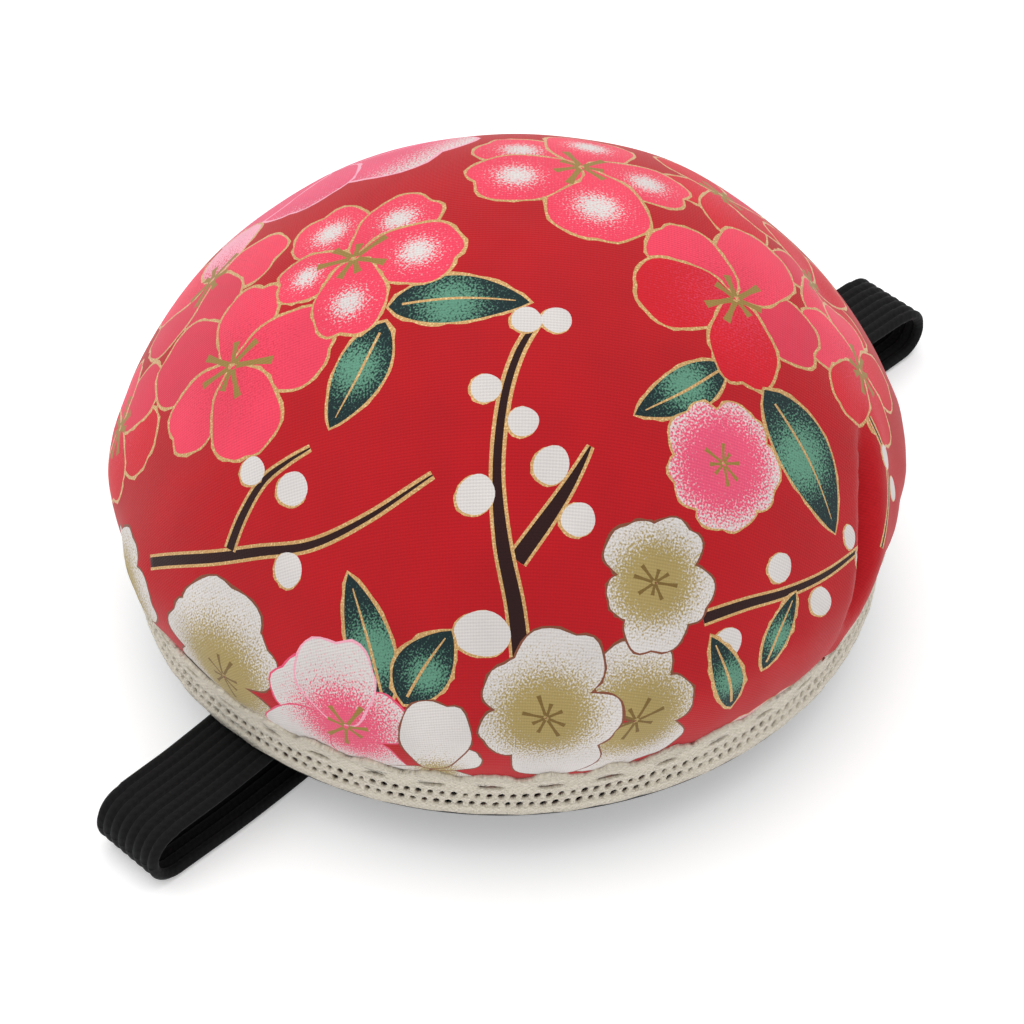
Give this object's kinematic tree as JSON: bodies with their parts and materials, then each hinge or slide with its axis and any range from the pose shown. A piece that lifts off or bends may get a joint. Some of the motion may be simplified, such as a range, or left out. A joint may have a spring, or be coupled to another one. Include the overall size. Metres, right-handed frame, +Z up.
{
  "type": "wrist pin cushion",
  "caption": "Stuffed half-ball pin cushion in printed cotton with a lace edge, on a plastic base plate with an elastic loop for the wrist.",
  "frame": {"origin": "on the table under the middle of the cushion, where the flattened elastic loop's lower run lies", "axes": "+Z up through the crown, +X along the flattened elastic loop, +Y across it"},
  "size_m": [0.1128, 0.0826, 0.0512],
  "materials": {
    "printed_cotton": "matte",
    "cream_lace": "matte",
    "black_elastic": "matte",
    "black_plastic": "satin",
    "white_plastic": "satin",
    "polyester_filling": "matte",
    "cotton_thread": "matte",
    "black_thread": "matte",
    "hot_glue": "satin"
  },
  "bodies": {
    "band_under_end": {"band_under_end": "black_elastic"},
    "cushion": {"cover": "printed_cotton", "stuffing": "polyester_filling", "needle_stop_disc": "white_plastic", "gathering_thread": "cotton_thread", "glue_ring": "hot_glue", "base_plate": "black_plastic", "lace_trim": "cream_lace", "band_bridge": "black_elastic"},
    "band_right_top_inner": {"band_right_top_inner": "black_elastic"},
    "band_right_top_outer": {"band_right_top_outer": "black_elastic"},
    "band_right_fold": {"band_right_fold": "black_elastic"},
    "band_right_run_outer": {"band_right_run_outer": "black_elastic"},
    "band_right_run_inner": {"band_right_run_inner": "black_elastic"},
    "band_left_top_inner": {"band_left_top_inner": "black_elastic"},
    "band_left_top_outer": {"band_left_top_outer": "black_elastic"},
    "band_left_fold": {"band_left_fold": "black_elastic"},
    "band_left_run_outer": {"band_left_run_outer": "black_elastic"},
    "band_left_run_inner": {"band_left_run_inner": "black_elastic"},
    "band_over_end": {"band_over_end": "black_elastic", "join_stitching": "black_thread"}
  },
  "joints": [
    {"name": "right_run_inner_hinge", "type": "hinge", "parent": "band_under_end", "child": "band_right_run_inner", "pos_m": [0.01, 0, 0.0006], "axis": [0, -1, 0], "range_deg": [0, 32.54]},
    {"name": "right_run_outer_hinge", "type": "hinge", "parent": "band_right_run_inner", "child": "band_right_run_outer", "pos_m": [0.0329, 0, 0.0006], "axis": [0, -1, 0], "range_deg": [0, 34.74]},
    {"name": "right_fold_lower_hinge", "type": "hinge", "parent": "band_right_run_outer", "child": "band_right_fold", "pos_m": [0.0558, 0, 0.0006], "axis": [0, -1, 0], "range_deg": [-68.38, 0]},
    {"name": "right_fold_upper_hinge", "type": "hinge", "parent": "band_right_fold", "child": "band_right_top_outer", "pos_m": [0.0558, 0, 0.0062], "axis": [0, -1, 0], "range_deg": [-73.69, 0]},
    {"name": "right_top_hinge", "type": "hinge", "parent": "band_right_top_outer", "child": "band_right_top_inner", "pos_m": [0.0399, 0, 0.0062], "axis": [0, -1, 0], "range_deg": [0, 24.12]},
    {"name": "loop_opens", "type": "hinge", "parent": "band_right_top_inner", "child": "cushion", "pos_m": [0.024, 0, 0.0062], "axis": [0, -1, 0], "range_deg": [0, 50.66]},
    {"name": "left_slot_hinge", "type": "hinge", "parent": "cushion", "child": "band_left_top_inner", "pos_m": [-0.024, 0, 0.0062], "axis": [0, -1, 0], "range_deg": [0, 50.66]},
    {"name": "left_top_hinge", "type": "hinge", "parent": "band_left_top_inner", "child": "band_left_top_outer", "pos_m": [-0.0399, 0, 0.0062], "axis": [0, -1, 0], "range_deg": [0, 24.12]},
    {"name": "left_fold_upper_hinge", "type": "hinge", "parent": "band_left_top_outer", "child": "band_left_fold", "pos_m": [-0.0558, 0, 0.0062], "axis": [0, -1, 0], "range_deg": [-73.69, 0]},
    {"name": "left_fold_lower_hinge", "type": "hinge", "parent": "band_left_fold", "child": "band_left_run_outer", "pos_m": [-0.0558, 0, 0.0006], "axis": [0, -1, 0], "range_deg": [-68.38, 0]},
    {"name": "left_run_outer_hinge", "type": "hinge", "parent": "band_left_run_outer", "child": "band_left_run_inner", "pos_m": [-0.0329, 0, 0.0006], "axis": [0, -1, 0], "range_deg": [0, 34.74]},
    {"name": "left_run_inner_hinge", "type": "hinge", "parent": "band_left_run_inner", "child": "band_over_end", "pos_m": [-0.01, 0, 0.0006], "axis": [0, -1, 0], "range_deg": [0, 32.54]}
  ],
  "couplings": [
    {"joint": "right_run_inner_hinge", "follows": "loop_opens", "ratio": 0.64241},
    {"joint": "right_run_outer_hinge", "follows": "loop_opens", "ratio": 0.68584},
    {"joint": "right_fold_lower_hinge", "follows": "loop_opens", "ratio": -1.3498},
    {"joint": "right_fold_upper_hinge", "follows": "loop_opens", "ratio": -1.4546},
    {"joint": "right_top_hinge", "follows": "loop_opens", "ratio": 0.47618},
    {"joint": "left_slot_hinge", "follows": "loop_opens", "ratio": 1},
    {"joint": "left_top_hinge", "follows": "loop_opens", "ratio": 0.47618},
    {"joint": "left_fold_upper_hinge", "follows": "loop_opens", "ratio": -1.4546},
    {"joint": "left_fold_lower_hinge", "follows": "loop_opens", "ratio": -1.3498},
    {"joint": "left_run_outer_hinge", "follows": "loop_opens", "ratio": 0.68584},
    {"joint": "left_run_inner_hinge", "follows": "loop_opens", "ratio": 0.64241}
  ]
}
